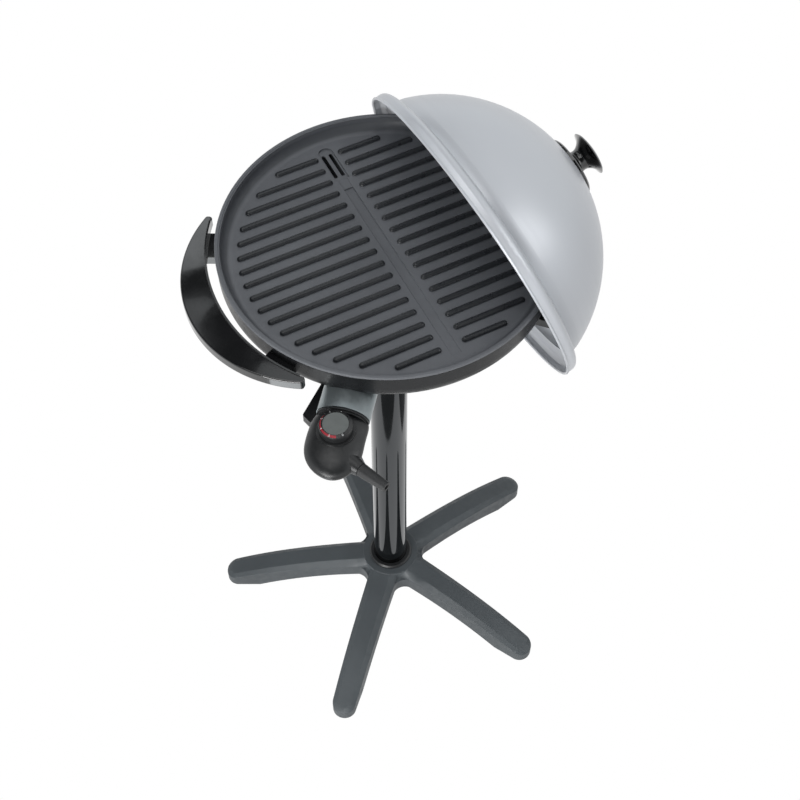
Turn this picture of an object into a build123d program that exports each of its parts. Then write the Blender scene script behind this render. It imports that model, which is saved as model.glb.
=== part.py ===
from build123d import *
from math import acos, asin, atan2, cos, degrees, pi, radians, sin, sqrt, tan
import os

# Electric grill on a pedestal: a round ribbed cooking plate over a heated housing, with two
# crescent handles, a plug-in thermostat, a drip tray, a column on a five-legged star base,
# and a loose domed lid parked over the plate's right side.
# Millimetres. Z is up, the floor is z = 0 and the column's axis is x = y = 0.
# +X runs along the ribs to the right handle, and +Y runs along the plate's channel to its drain.

# Clearances
seat_gap = 0.3
slide_gap = 0.3
running_gap = 0.06
screw_gap = 0.1

# Cooking plate
plate_radius = 220.0
plate_rim_z = 919.0
plate_depth = 19.0
plate_floor_thickness = 5.0
plate_wall_width = 21.0
rim_width = 5.0
rim_height = 4.0
rim_step_width = 1.5
rim_step_depth = 1.3
rib_rows = 17
rib_pitch = 22.0
rib_width = 8.5
rib_height = 5.0
rib_margin = 6.5
rib_start = 14.5
channel_width = 13.0
channel_depth = 3.0
channel_front = -190.0
drain_width = 20.0
drain_near = 131.0
drain_far = 193.0
drain_depth = 3.0
drain_slot_width = 5.0
drain_slot_length = 44.0
drain_slot_offset = 5.2
bar_width = 17.0
spout_wall = 3.0
spout_bottom = 846.0
post_radius = 140.0
post_azimuths = (-70.0, 50.0, 170.0)
post_diameter = 12.0

# Housing under the plate
housing_inset = 1.0
housing_wall = 3.0
housing_bottom = 850.0
housing_flat_radius = 150.0
housing_corner = 26.0
housing_wall_foot = 893.0
housing_edge = 1.0
reflector_z = 866.0
reflector_thickness = 0.8
reflector_flat_radius = 120.0
reflector_edge_radius = 202.0
reflector_edge_z = 884.0
reflector_boss_radius = 95.0
reflector_boss_azimuths = (-10.0, 110.0, 215.0)

# Heating element
element_diameter = 7.0
element_radius = 120.0
element_lead_offset = 16.0
element_corner = 14.0
element_end = 176.0
clamp_azimuths = (-10.0, 110.0, 200.0)
clamp_length = 38.0
clamp_width = 12.0
clamp_thickness = 1.8
clamp_boss_offset = 13.0

# Column and base
tube_radius = 27.7
tube_wall = 1.6
tube_bottom = 52.0
tube_top = 854.0
cap_thickness = 3.0
collar_radius = 36.0
hub_radius = 47.0
hub_top = 84.0
hub_floor = 44.0
leg_count = 5
leg_first_azimuth = 10.5
leg_wall = 3.0
web_radius = 22.0
web_top = 69.0
pad_height = 7.0
pad_length = 44.0
pad_width = 28.0
pad_centre = 260.0
arch_end = 232.0
arch_crown = 33.0
# Leg sections: radius, width of the flat top, width over the sides, top, chamfer's lower edge
leg_stations = (
    (12.0, 30.0, 50.0, 84.0, 74.0),
    (80.0, 27.0, 47.0, 79.0, 70.0),
    (160.0, 26.0, 44.0, 67.0, 60.0),
    (230.0, 25.0, 41.0, 49.0, 44.0),
    (288.0, 23.0, 38.0, 28.0, 24.0),
)

# Socket of the head on the column
socket_bottom = 820.0
socket_wall = 5.0
socket_flange_radius = 62.0
socket_flange_thickness = 4.0
socket_screw_radius = 50.0

# Handles
handle_space = 11.0
handle_width = 41.0
handle_half_angle = 38.3
handle_tip_width = 8.5
handle_corner = 4.0
handle_top_inner = 908.0
handle_top_outer = 904.0
handle_thickness = 15.0
handle_edge = 2.0
handle_lip_width = 2.5
handle_lip_height = 1.4
arm_angle = 27.5
arm_width = 40.0
arm_height = 13.0
arm_top = 901.0
handle_screw_z = 897.0

# Table feet
foot_azimuths = (41.5, 138.5, -138.5, -41.5)
toe_top = 835.0
toe_thickness = 13.0
toe_nose = 245.0
toe_corner = 239.0
toe_half_width = 18.0
toe_root = 138.0
toe_root_half_width = 12.0
table_pad_height = 5.0

# Drip tray
tray_width = 104.0
tray_near = 104.0
tray_far = 212.0
tray_top = 842.0
tray_depth = 23.0
tray_wall = 1.5
tray_flange = 6.0
rail_length = 92.0

# Plug-in thermostat, on its own radial axis
probe_azimuth = -129.4
hood_half_width = 33.4
hood_half_height = 23.0
hood_wall = 2.6
hood_axis_z = 865.0
hood_inner_end = 178.0
hood_outer_end = 245.0
block_thickness = 7.0
pin_diameter = 5.0
pin_offset = 16.0
pin_z = 862.0
pin_end = 222.0
contact_radius = 4.0
ear_offset = 37.5
ear_rise = 8.0
probe_diameter = 6.0
probe_z = 876.0
probe_tip = 152.0
well_near = 147.0
well_far = 172.0
well_width = 14.0
nose_gap = 0.4
nose_start = 229.0
shell_start = 248.0
lip_width = 2.0
shell_wall = 2.4
parting_z = 861.0
# Shell sections: distance from the column's axis, sideways offset, half width, half height, centre z
shell_stations = (
    (248.0, 0.0, 33.0, 17.2, 860.8),
    (262.0, -1.5, 35.5, 17.2, 860.6),
    (285.0, -1.5, 36.0, 16.8, 860.2),
    (303.0, -0.8, 33.5, 15.2, 859.8),
    (318.0, 0.3, 24.8, 11.8, 858.8),
    (326.5, 1.8, 13.5, 7.0, 858.2),
    (329.5, 2.3, 5.0, 2.8, 858.2),
)
knob_distance = 271.5
knob_offset = -2.0
knob_radius = 20.6
knob_height = 12.0
boss_radius = 24.0
boss_top = 878.3
shaft_diameter = 6.0
boot_start = (308.2, 36.8)
boot_end = (325.8, 72.4)
boot_z = 858.0
boot_radius = 8.6
boot_tip_radius = 6.6
cord_hole_radius = 3.6
shell_screw_places = ((255.0, 24.0), (255.0, -26.0), (314.0, 0.0))
shell_screw_seat = 853.0
switch_bottom = 849.0
switch_rest_places = (259.0, 288.0)

# Lid
lid_radius = 223.7
lid_wall = 1.5
lid_height = 169.7
dome_base_radius = 202.5
dome_base_height = 22.0
dome_knuckle = 35.5
lid_lean = 71.76
lid_turn = 3.95
lid_place = (123.1, 3.3, 846.8)
lid_plate_radius = 42.0
lid_knob_radius = 31.5
lid_knob_neck = 15.0
lid_knob_foot = 18.0
lid_knob_height = 35.0
lid_knob_crown_radius = 29.5
lid_knob_crown_rise = 5.5
lid_screw_radius = 2.9

# Sizes worked out from the ones above
plate_floor_z = plate_rim_z - plate_depth
plate_under_z = plate_floor_z - plate_floor_thickness
plate_floor_radius = plate_radius - plate_wall_width
under_edge = plate_radius - rim_width
inner_top = under_edge - rim_step_width
rib_reach = plate_floor_radius - rib_margin
housing_radius = plate_radius - housing_inset
drain_middle = (drain_near + drain_far) / 2
spout_length = drain_far - drain_near + 2
spout_half_length = spout_length / 2 + spout_wall
spout_half_width = drain_width / 2 + spout_wall
housing_top = plate_rim_z - rim_height - seat_gap
housing_floor = housing_bottom + housing_wall
corner_centre = housing_radius - housing_corner
handle_inner_radius = plate_radius + handle_space
handle_reach = handle_inner_radius + handle_width
handle_tip_radius = handle_inner_radius + handle_tip_width
lid_knob_top = lid_height + lid_knob_height
element_z = plate_under_z - 0.2 - element_diameter / 2
clamp_top = element_z - element_diameter / 2 - 0.1
cap_top = tube_top + cap_thickness
socket_roof = cap_top + seat_gap
socket_radius = tube_radius + slide_gap + socket_wall
foot_screw_distance = toe_root + 14
tray_middle = (tray_near + tray_far) / 2
rail_centre = tray_width / 2 + 3.5
rail_screw_places = (tray_near + 8, tray_near + 26)
ear_z = hood_axis_z + ear_rise
hood_plug_half_width = hood_half_width - hood_wall - nose_gap
hood_plug_half_height = hood_half_height - hood_wall - nose_gap
dome_rise = lid_height - dome_base_height
dome_crown = (dome_base_radius**2 + dome_rise**2 - 2 * dome_base_radius * dome_knuckle) / (
    2 * (dome_rise - dome_knuckle)
)


def turned(*edges):
    """A solid of revolution about Z from edges drawn as (radius, height)."""
    return revolve(make_face(Plane.XZ * Curve(edges)), Axis.Z)


def turned_outline(points):
    """A solid of revolution about Z from the corners of its outline."""
    return revolve(make_face(Plane.XZ * Polyline(*points, close=True)), Axis.Z)


def cylinder(radius, low, high, x=0.0, y=0.0):
    return Pos(x, y, low) * Cylinder(radius, high - low, align=(Align.CENTER, Align.CENTER, Align.MIN))


def block(x0, x1, y0, y1, z0, z1):
    return Pos((x0 + x1) / 2, (y0 + y1) / 2, (z0 + z1) / 2) * Box(x1 - x0, y1 - y0, z1 - z0)


def rod(radius, x0, x1, y=0.0, z=0.0):
    """A bar along X."""
    return Pos(x0, y, z) * Rot(0, 90, 0) * Cylinder(
        radius, x1 - x0, align=(Align.CENTER, Align.CENTER, Align.MIN)
    )


def oval_bar(half_width, half_height, x0, x1, y=0.0, z=0.0):
    """An elliptical bar along X, with its width along Y."""
    section = Plane(origin=(x0, y, z), x_dir=(0, 1, 0), z_dir=(1, 0, 0)) * Ellipse(half_width, half_height)
    return extrude(section, amount=x1 - x0)


def screw(head_radius, head_height, shank_radius, length):
    """A pan-head screw along Z: its head's seat is z = 0 and its shank points up."""
    shoulder = head_radius - head_height * 0.45
    return turned_outline(
        (
            (0, -head_height),
            (shoulder, -head_height),
            (head_radius, -head_height * 0.55),
            (head_radius, 0),
            (shank_radius, 0),
            (shank_radius, length),
            (0, length),
        )
    )


def around(azimuths, shape):
    """Copies of a shape drawn on the +X side, turned to each azimuth about Z."""
    return [Rot(0, 0, azimuth) * shape for azimuth in azimuths]


def polar(radius, azimuth):
    return radius * cos(radians(azimuth)), radius * sin(radians(azimuth))


def minus(shape, tools):
    for tool in tools:
        shape = shape - tool
    return shape


def plus(shape, extras):
    for extra in extras:
        shape = shape + extra
    return shape


# Cooking plate: a dish with a grooved rim, ribs either side of a sloping channel, and a drain
def plate_dish():
    shoulder_z = plate_rim_z - rim_step_depth
    lower_z = plate_rim_z - rim_height
    return turned(
        Line((0, plate_under_z), (plate_floor_radius - 3, plate_under_z)),
        ThreePointArc(
            (plate_floor_radius - 3, plate_under_z),
            (plate_floor_radius + 11.9, plate_under_z + 6.2),
            (under_edge - 0.3, lower_z - 1.5),
        ),
        Line((under_edge - 0.3, lower_z - 1.5), (under_edge, lower_z)),
        Line((under_edge, lower_z), (plate_radius - 0.8, lower_z)),
        Line((plate_radius - 0.8, lower_z), (plate_radius, lower_z + 0.8)),
        Line((plate_radius, lower_z + 0.8), (plate_radius, plate_rim_z - 1.2)),
        Line((plate_radius, plate_rim_z - 1.2), (plate_radius - 1.2, plate_rim_z)),
        Line((plate_radius - 1.2, plate_rim_z), (under_edge + 0.6, plate_rim_z)),
        Line((under_edge + 0.6, plate_rim_z), (under_edge, shoulder_z)),
        Line((under_edge, shoulder_z), (inner_top, shoulder_z)),
        ThreePointArc(
            (inner_top, shoulder_z),
            (plate_floor_radius + 10.4, plate_floor_z + 4.9),
            (plate_floor_radius, plate_floor_z),
        ),
        Line((plate_floor_radius, plate_floor_z), (0, plate_floor_z)),
        Line((0, plate_floor_z), (0, plate_under_z)),
    )


def capsule(radius, length):
    """A bar with round ends along Z, centred on the origin."""
    half = length / 2
    bend = radius * sqrt(0.5)
    return turned(
        ThreePointArc((0, -half), (bend, radius - half - bend), (radius, radius - half)),
        Line((radius, radius - half), (radius, half - radius)),
        ThreePointArc((radius, half - radius), (bend, half - radius + bend), (0, half)),
        Line((0, half), (0, -half)),
    )


def plate_ribs():
    """Round ribs with round ends, sunk into the floor up to their height."""
    ribs = []
    radius = rib_width / 2
    for row in range(rib_rows):
        y = (row - (rib_rows - 1) / 2) * rib_pitch
        reach = sqrt(rib_reach**2 - y**2)
        rib = Rot(0, 90, 0) * capsule(radius, reach - rib_start)
        for side in (-1, 1):
            ribs.append(Pos(side * (rib_start + reach) / 2, y, plate_floor_z + rib_height - radius) * rib)
    return ribs


def grill_plate():
    plate = plate_dish()
    # The drain's spout, the thermostat's well, and the posts and bosses under the plate
    plate = plate + block(
        -spout_half_width,
        spout_half_width,
        drain_middle - spout_half_length,
        drain_middle + spout_half_length,
        spout_bottom,
        plate_under_z,
    )
    plate = plate - block(
        -drain_width / 2,
        drain_width / 2,
        drain_middle - spout_length / 2,
        drain_middle + spout_length / 2,
        spout_bottom,
        plate_under_z,
    )
    well = block(well_near, well_far, -well_width / 2, well_width / 2, probe_z - 7, plate_under_z)
    well = well - rod(probe_diameter / 2 + slide_gap, probe_tip - 2, well_far, z=probe_z)
    plate = plate + Rot(0, 0, probe_azimuth) * well
    post = cylinder(post_diameter / 2, housing_floor, plate_under_z, x=post_radius)
    plate = plus(plate, around(post_azimuths, post))
    boss_pair = [
        cylinder(4, clamp_top, plate_under_z, x=element_radius - clamp_boss_offset),
        cylinder(4, clamp_top, plate_under_z, x=element_radius + clamp_boss_offset),
    ]
    for boss in boss_pair:
        plate = plus(plate, around(clamp_azimuths, boss))
    # Ribs, cast with the floor
    plate = plate + plate_ribs()
    # The channel falls to the drain and fades out at the front
    channel = Plane.YZ * make_face(
        Polyline(
            (channel_front, plate_floor_z - 0.3),
            (drain_near - bar_width, plate_floor_z - channel_depth),
            (drain_near - bar_width, plate_floor_z + 1),
            (channel_front, plate_floor_z + 1),
            close=True,
        )
    )
    plate = plate - extrude(channel, amount=channel_width / 2, both=True)
    # The drain: a round-ended recess with two slots, and a low bar between it and the channel
    recess = Pos(0, drain_middle, plate_floor_z - drain_depth) * Rot(0, 0, 90) * SlotOverall(
        drain_far - drain_near, drain_width
    )
    plate = plate - extrude(recess, amount=drain_depth + 1)
    plate = plate - block(
        -drain_width / 2,
        drain_width / 2,
        drain_near,
        drain_near + drain_width / 2,
        plate_floor_z - drain_depth,
        plate_floor_z + 1,
    )
    slot = Pos(0, 0, plate_under_z - 1) * Rot(0, 0, 90) * SlotOverall(drain_slot_length, drain_slot_width)
    for side in (-1, 1):
        cut = extrude(slot, amount=plate_floor_thickness + 1)
        plate = plate - Pos(side * drain_slot_offset, drain_middle - 1, 0) * cut
    plate = plate - block(
        -channel_width / 2,
        channel_width / 2,
        drain_near - bar_width,
        drain_near,
        plate_floor_z - 1,
        plate_floor_z + 1,
    )
    # Screw holes in the posts and bosses
    post_hole = cylinder(2 + screw_gap, housing_floor, housing_floor + 18, x=post_radius)
    plate = minus(plate, around(post_azimuths, post_hole))
    for side in (-1, 1):
        x = element_radius + side * clamp_boss_offset
        plate = minus(plate, around(clamp_azimuths, cylinder(1.5 + screw_gap, clamp_top, clamp_top + 6, x=x)))
    return plate


# Heating element: a ring under the plate with both ends led out to the thermostat's side
def element_path():
    reach = element_radius + element_corner
    corner_y = element_lead_offset + element_corner
    corner_x = sqrt(reach**2 - corner_y**2)
    ring_start = degrees(atan2(corner_y, corner_x))
    turn = 90 - ring_start
    lead = Line((element_end, element_lead_offset), (corner_x, element_lead_offset))
    first = JernArc(lead @ 1, (-1, 0), element_corner, -turn)
    ring = JernArc(first @ 1, first % 1, element_radius, 360 - 2 * ring_start)
    last = JernArc(ring @ 1, ring % 1, element_corner, -turn)
    other_lead = Line(last @ 1, (element_end, -element_lead_offset))
    return Wire([run.edge() for run in (lead, first, ring, last, other_lead)])


def heating_element():
    path = Pos(0, 0, element_z) * element_path()
    section = Plane(origin=path @ 0, z_dir=path % 0) * Circle(element_diameter / 2)
    return Rot(0, 0, probe_azimuth) * sweep(section, path)


def element_clamps():
    strap = Pos(element_radius, 0, clamp_top - clamp_thickness) * extrude(
        SlotOverall(clamp_length, clamp_width), amount=clamp_thickness
    )
    for side in (-1, 1):
        x = element_radius + side * clamp_boss_offset
        strap = strap - cylinder(1.5 + screw_gap, clamp_top - 3, clamp_top + 1, x=x)
    return around(clamp_azimuths, strap)


def clamp_screws():
    fastener = screw(3, 2, 1.5, clamp_thickness + 5)
    screws = []
    for side in (-1, 1):
        x = element_radius + side * clamp_boss_offset
        screws += around(clamp_azimuths, Pos(x, 0, clamp_top - clamp_thickness) * fastener)
    return screws


# Housing: a bowl that hangs under the plate's rim and is open at the top
def bowl(inset, top, edge=0.0):
    """The filled bowl, from its floor over a cone and a round corner to its straight wall."""
    side = corner_centre - housing_flat_radius
    drop = housing_wall_foot - housing_bottom
    slope = acos(housing_corner / sqrt(side**2 + drop**2)) - atan2(side, drop)
    radius = housing_radius - inset
    corner = housing_corner - inset
    floor = (housing_flat_radius - inset * tan(slope / 2), housing_bottom + inset)
    lower = (corner_centre + corner * sin(slope), housing_wall_foot - corner * cos(slope))
    half = (pi / 2 + slope) / 2
    middle = (corner_centre + corner * sin(half), housing_wall_foot - corner * cos(half))
    outline = [
        Line((0, floor[1]), floor),
        Line(floor, lower),
        ThreePointArc(lower, middle, (radius, housing_wall_foot)),
        Line((radius, housing_wall_foot), (radius, top - edge)),
    ]
    if edge > 0:
        outline.append(Line((radius, top - edge), (radius - edge, top)))
    outline.append(Line((radius - edge, top), (0, top)))
    outline.append(Line((0, top), (0, floor[1])))
    return turned(*outline)


def bowl_with_gap():
    """What hangs under the housing is trimmed to this, so it seats with a small gap."""
    return bowl(-seat_gap, housing_top)


def housing_bowl():
    housing = bowl(0, housing_top, housing_edge) - bowl(housing_wall, housing_top + 1)
    reflector_boss = cylinder(5, housing_bottom + 1, reflector_z, x=reflector_boss_radius)
    housing = plus(housing, around(reflector_boss_azimuths, reflector_boss))
    reflector_hole = cylinder(1.5 + screw_gap, reflector_z - 8, reflector_z + 1, x=reflector_boss_radius)
    housing = minus(housing, around(reflector_boss_azimuths, reflector_hole))
    # The column socket's hole and screws
    housing = housing - cylinder(socket_radius + slide_gap, housing_bottom - 1, housing_floor + 1)
    socket_boss = cylinder(5, housing_floor - 1, housing_floor + 8, x=socket_screw_radius)
    housing = plus(housing, around((45, 135, 225, 315), socket_boss))
    socket_hole = cylinder(2 + screw_gap, housing_bottom - 1, housing_floor + 7, x=socket_screw_radius)
    housing = minus(housing, around((45, 135, 225, 315), socket_hole))
    # The screws that pull the plate's posts down
    post_hole = cylinder(2 + screw_gap, housing_bottom - 1, housing_floor + 1, x=post_radius)
    housing = minus(housing, around(post_azimuths, post_hole))
    # The drain's spout and the thermostat's hood go through the shell
    housing = housing - block(
        -spout_half_width - 0.5,
        spout_half_width + 0.5,
        drain_middle - spout_half_length - 0.5,
        drain_middle + spout_half_length + 0.5,
        housing_bottom - 5,
        housing_wall_foot,
    )
    hood_hole = oval_bar(
        hood_half_width + seat_gap,
        hood_half_height + seat_gap,
        hood_inner_end - 8,
        housing_radius + 10,
        z=hood_axis_z,
    )
    housing = housing - Rot(0, 0, probe_azimuth) * hood_hole
    # Screw holes for the handles' arms
    arm_hole = rod(2 + screw_gap, housing_radius - 10, housing_radius + 5, z=handle_screw_z)
    housing = minus(housing, around(handle_arm_azimuths(), arm_hole))
    # Screw holes for the feet
    foot_hole = cylinder(2 + screw_gap, housing_bottom - 1, housing_wall_foot, x=foot_screw_distance)
    housing = minus(housing, around(foot_azimuths, foot_hole))
    # Screw holes for the tray's rails
    for x in (-rail_centre, rail_centre):
        for y in rail_screw_places:
            housing = housing - cylinder(1.5 + screw_gap, housing_bottom - 1, housing_floor + 1, x=x, y=y)
    return housing


def heat_reflector():
    dish = turned_outline(
        (
            (0, reflector_z),
            (reflector_flat_radius, reflector_z),
            (reflector_edge_radius, reflector_edge_z),
            (reflector_edge_radius, reflector_edge_z + reflector_thickness),
            (reflector_flat_radius, reflector_z + reflector_thickness),
            (0, reflector_z + reflector_thickness),
        )
    )
    screw_hole = cylinder(1.5 + screw_gap, reflector_z - 1, reflector_z + 2, x=reflector_boss_radius)
    dish = minus(dish, around(reflector_boss_azimuths, screw_hole))
    post_hole = cylinder(post_diameter / 2 + 1, reflector_z - 1, reflector_edge_z, x=post_radius)
    dish = minus(dish, around(post_azimuths, post_hole))
    dish = dish - block(
        -spout_half_width - 1,
        spout_half_width + 1,
        drain_middle - spout_half_length - 1,
        drain_middle + spout_half_length + 1,
        reflector_z - 5,
        reflector_edge_z + 5,
    )
    notch = block(
        well_near - 6,
        reflector_edge_radius + 5,
        -hood_half_width - 14,
        hood_half_width + 14,
        reflector_z - 5,
        reflector_edge_z + 5,
    )
    return dish - Rot(0, 0, probe_azimuth) * notch


def reflector_screws():
    place = Pos(reflector_boss_radius, 0, reflector_z + reflector_thickness) * Rot(180, 0, 0)
    return around(reflector_boss_azimuths, place * screw(3, 2, 1.5, 7))


def plate_screws():
    return around(post_azimuths, Pos(post_radius, 0, housing_bottom) * screw(4, 2.6, 2, 18))


# Column socket under the housing, with its screws
def column_socket():
    socket = cylinder(socket_radius, socket_bottom, socket_roof + 4)
    socket = socket + cylinder(socket_flange_radius, housing_bottom - socket_flange_thickness, housing_bottom)
    gusset = Plane.XZ * make_face(
        Polyline(
            (socket_radius - 1, socket_bottom + 6),
            (socket_flange_radius - 4, housing_bottom - socket_flange_thickness),
            (socket_radius - 1, housing_bottom - socket_flange_thickness),
            close=True,
        )
    )
    socket = plus(socket, around((0, 90, 180, 270), extrude(gusset, amount=2, both=True)))
    socket = socket - cylinder(tube_radius + slide_gap, socket_bottom - 1, socket_roof)
    lead_in = socket.faces().sort_by(Axis.Z)[0].edges().sort_by(SortBy.LENGTH)[0]
    socket = chamfer(lead_in, 1.5)
    hole = cylinder(2 + screw_gap, socket_bottom, housing_bottom + 1, x=socket_screw_radius)
    return minus(socket, around((45, 135, 225, 315), hole))


def socket_screws():
    seat = housing_bottom - socket_flange_thickness
    return around((45, 135, 225, 315), Pos(socket_screw_radius, 0, seat) * screw(4, 2.6, 2, 10))


# Column and base
def column_tube():
    tube = cylinder(tube_radius, tube_bottom, tube_top)
    return tube - cylinder(tube_radius - tube_wall, tube_bottom - 1, tube_top + 1)


def column_cap():
    cap = cylinder(tube_radius, tube_top, cap_top)
    cap = chamfer(cap.edges().sort_by(Axis.Z)[-1], 1)
    return cap + cylinder(tube_radius - tube_wall - screw_gap, tube_top - 14, tube_top)


def column_plug():
    plug = cylinder(tube_radius - tube_wall - screw_gap, tube_bottom, tube_bottom + 16)
    return plug - cylinder(5 + screw_gap, tube_bottom - 1, tube_bottom + 17)


def base_bolt():
    seat = hub_floor - 2
    head = Pos(0, 0, seat - 6.4) * extrude(RegularPolygon(8.5, 6), amount=6.4)
    return head + cylinder(5, seat, tube_bottom + 14)


def base_washer():
    return cylinder(15, hub_floor - 2, hub_floor) - cylinder(5 + screw_gap, hub_floor - 3, hub_floor + 1)


def base_collar():
    inner = tube_radius + slide_gap
    return turned_outline(
        (
            (inner, hub_top),
            (collar_radius, hub_top),
            (collar_radius, hub_top + 2.5),
            (collar_radius - 2.5, hub_top + 5),
            (inner, hub_top + 5),
        )
    )


def leg_section(radius, top_width, side_width, top_z, edge_z, bottom_z):
    corners = (
        (-side_width / 2, bottom_z),
        (side_width / 2, bottom_z),
        (side_width / 2, edge_z),
        (top_width / 2, top_z),
        (-top_width / 2, top_z),
        (-side_width / 2, edge_z),
    )
    plane = Plane(origin=(radius, 0, 0), x_dir=(0, 1, 0), z_dir=(1, 0, 0))
    return plane * make_face(Polyline(*corners, close=True))


def is_upright(edge):
    size = edge.bounding_box().size
    return size.X < 0.5 and size.Y < 0.5 and size.Z > 1


def star_leg():
    leg = loft([leg_section(*station, pad_height) for station in leg_stations])
    tip = leg.edges().filter_by(lambda edge: is_upright(edge) and edge.center().X > leg_stations[-1][0] - 1)
    return fillet(tip, 9)


def leg_hollow():
    """The space inside a leg, open below, from the hub to short of the foot."""
    sections = []
    for radius, top_width, side_width, top_z, edge_z in leg_stations[1:-1]:
        inner_top = top_width - leg_wall
        inner_side = side_width - 2 * leg_wall
        section = leg_section(radius, inner_top, inner_side, top_z - leg_wall, edge_z - leg_wall, 0)
        sections.append(section)
    return loft(sections)


def hub_web(azimuths):
    """Fills the corners between the legs with round webs, below the legs' flat tops."""
    length = leg_stations[1][0]
    width = leg_stations[1][2] - 1
    plan = Rectangle(length, width, align=(Align.MIN, Align.CENTER))
    plan = plus(Rot(0, 0, azimuths[0]) * plan, around(azimuths[1:], plan))
    corner_radius = width / 2 / sin(pi / leg_count)
    corners = plan.vertices().filter_by(lambda corner: sqrt(corner.X**2 + corner.Y**2) < corner_radius + 3)
    plan = fillet(corners, web_radius)
    return extrude(Pos(0, 0, pad_height) * plan, amount=web_top - pad_height)


def base_star():
    star = cylinder(hub_radius, pad_height, hub_top)
    azimuths = [leg_first_azimuth + 360 / leg_count * number for number in range(leg_count)]
    star = plus(star, around(azimuths, star_leg()))
    star = star + hub_web(azimuths)
    arch = turned(
        Line((0, 0), (arch_end, 0)),
        Line((arch_end, 0), (arch_end, pad_height)),
        ThreePointArc((arch_end, pad_height), (150, arch_crown), (hub_radius + 10, hub_floor)),
        Line((hub_radius + 10, hub_floor), (0, hub_floor)),
        Line((0, hub_floor), (0, 0)),
    )
    star = star - arch
    star = minus(star, around(azimuths, leg_hollow()))
    star = star - cylinder(tube_radius + slide_gap, tube_bottom, hub_top + 5)
    return star - cylinder(5 + screw_gap, hub_floor - 5, tube_bottom + 1)


def foot_pads():
    azimuths = [leg_first_azimuth + 360 / leg_count * number for number in range(leg_count)]
    pad = Pos(pad_centre, 0, 0) * extrude(SlotOverall(pad_length, pad_width), amount=pad_height)
    pad = chamfer(pad.edges().group_by(Axis.Z)[0], 1.2)
    return around(azimuths, pad)


# Handles: crescents that stand off the housing on two arms each
def handle_arm_azimuths():
    return (arm_angle, -arm_angle, 180 - arm_angle, 180 + arm_angle)


def sector(half_angle):
    """A wedge about +X that is wider than the handle."""
    far = handle_reach * 2
    tip = (far * cos(radians(half_angle)), far * sin(radians(half_angle)))
    return make_face(Polyline((0, 0), (tip[0], -tip[1]), (far, 0), tip, close=True))


def crescent():
    tip_x = handle_tip_radius * cos(radians(handle_half_angle))
    centre = (handle_reach**2 - handle_tip_radius**2) / (2 * (handle_reach - tip_x))
    plan = Pos(centre, 0) * Circle(handle_reach - centre) - Circle(handle_inner_radius)
    plan = plan & sector(handle_half_angle)
    plan = fillet(plan.vertices(), handle_corner)
    body = extrude(plan, amount=plate_rim_z + 10)
    bottom_inner = handle_top_inner - handle_thickness
    bottom_outer = handle_top_outer - handle_thickness
    reach = handle_reach + 20
    slope = (handle_top_outer - handle_top_inner) / (handle_reach - handle_inner_radius)
    start = handle_inner_radius - 10
    band = turned_outline(
        (
            (start, bottom_inner - 10 * slope),
            (reach, bottom_outer + 20 * slope),
            (reach, handle_top_outer + 20 * slope),
            (start, handle_top_inner - 10 * slope),
        )
    )
    return body & band


def handle():
    body = crescent()
    middle = handle_inner_radius + handle_width / 2
    outer = body.edges().filter_by(lambda edge: edge.length > 150 and edge.center().X > middle)
    body = fillet(outer, handle_edge)
    # A low lip along the inner edge
    lip = Circle(handle_inner_radius + handle_lip_width) - Circle(handle_inner_radius)
    lip = lip & sector(handle_half_angle - 2)
    low = handle_top_inner - handle_edge - 1
    body = body + Pos(0, 0, low) * extrude(lip, amount=handle_top_inner + handle_lip_height - low)
    # The arms, cut to the housing's form
    arm_end = handle_inner_radius + 10
    arm = block(housing_radius - 6, arm_end, -arm_width / 2, arm_width / 2, arm_top - arm_height, arm_top)
    arm = arm - bowl_with_gap()
    arm = arm - rod(2 + screw_gap, housing_radius - 5, housing_radius + 14, z=handle_screw_z)
    return plus(body, around((arm_angle, -arm_angle), arm))


def handle_screws():
    seat = housing_radius - housing_wall - screw_gap
    fastener = Pos(seat, 0, handle_screw_z) * Rot(0, 90, 0) * screw(4, 2.4, 2, 14)
    return around(handle_arm_azimuths(), fastener)


# Table feet, for the head used without its column
def table_foot():
    toe = make_face(
        Polyline(
            (toe_root, -toe_root_half_width),
            (toe_corner, -toe_half_width),
            (toe_nose, -toe_half_width * 0.35),
            (toe_nose, toe_half_width * 0.35),
            (toe_corner, toe_half_width),
            (toe_root, toe_root_half_width),
            close=True,
        )
    )
    foot = Pos(0, 0, toe_top - toe_thickness) * extrude(toe, amount=toe_thickness)
    foot = fillet(foot.edges().filter_by(Axis.Z), 2.5)
    half_width = toe_root_half_width - 1
    riser = block(toe_root + 1, toe_root + 27, -half_width, half_width, toe_top - 2, housing_wall_foot)
    foot = foot + riser - bowl_with_gap()
    counterbore = cylinder(4.6, toe_top - toe_thickness - 1, toe_top + 4, x=foot_screw_distance)
    return foot - counterbore - cylinder(2 + screw_gap, toe_top, housing_wall_foot, x=foot_screw_distance)


def table_foot_pads():
    low = toe_top - toe_thickness - table_pad_height
    pad = Pos(toe_corner - 12, 0, low) * extrude(SlotOverall(30, 20), amount=table_pad_height)
    return around(foot_azimuths, pad)


def table_foot_screws():
    return around(foot_azimuths, Pos(foot_screw_distance, 0, toe_top + 4) * screw(4, 2.6, 2, 26))


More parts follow.
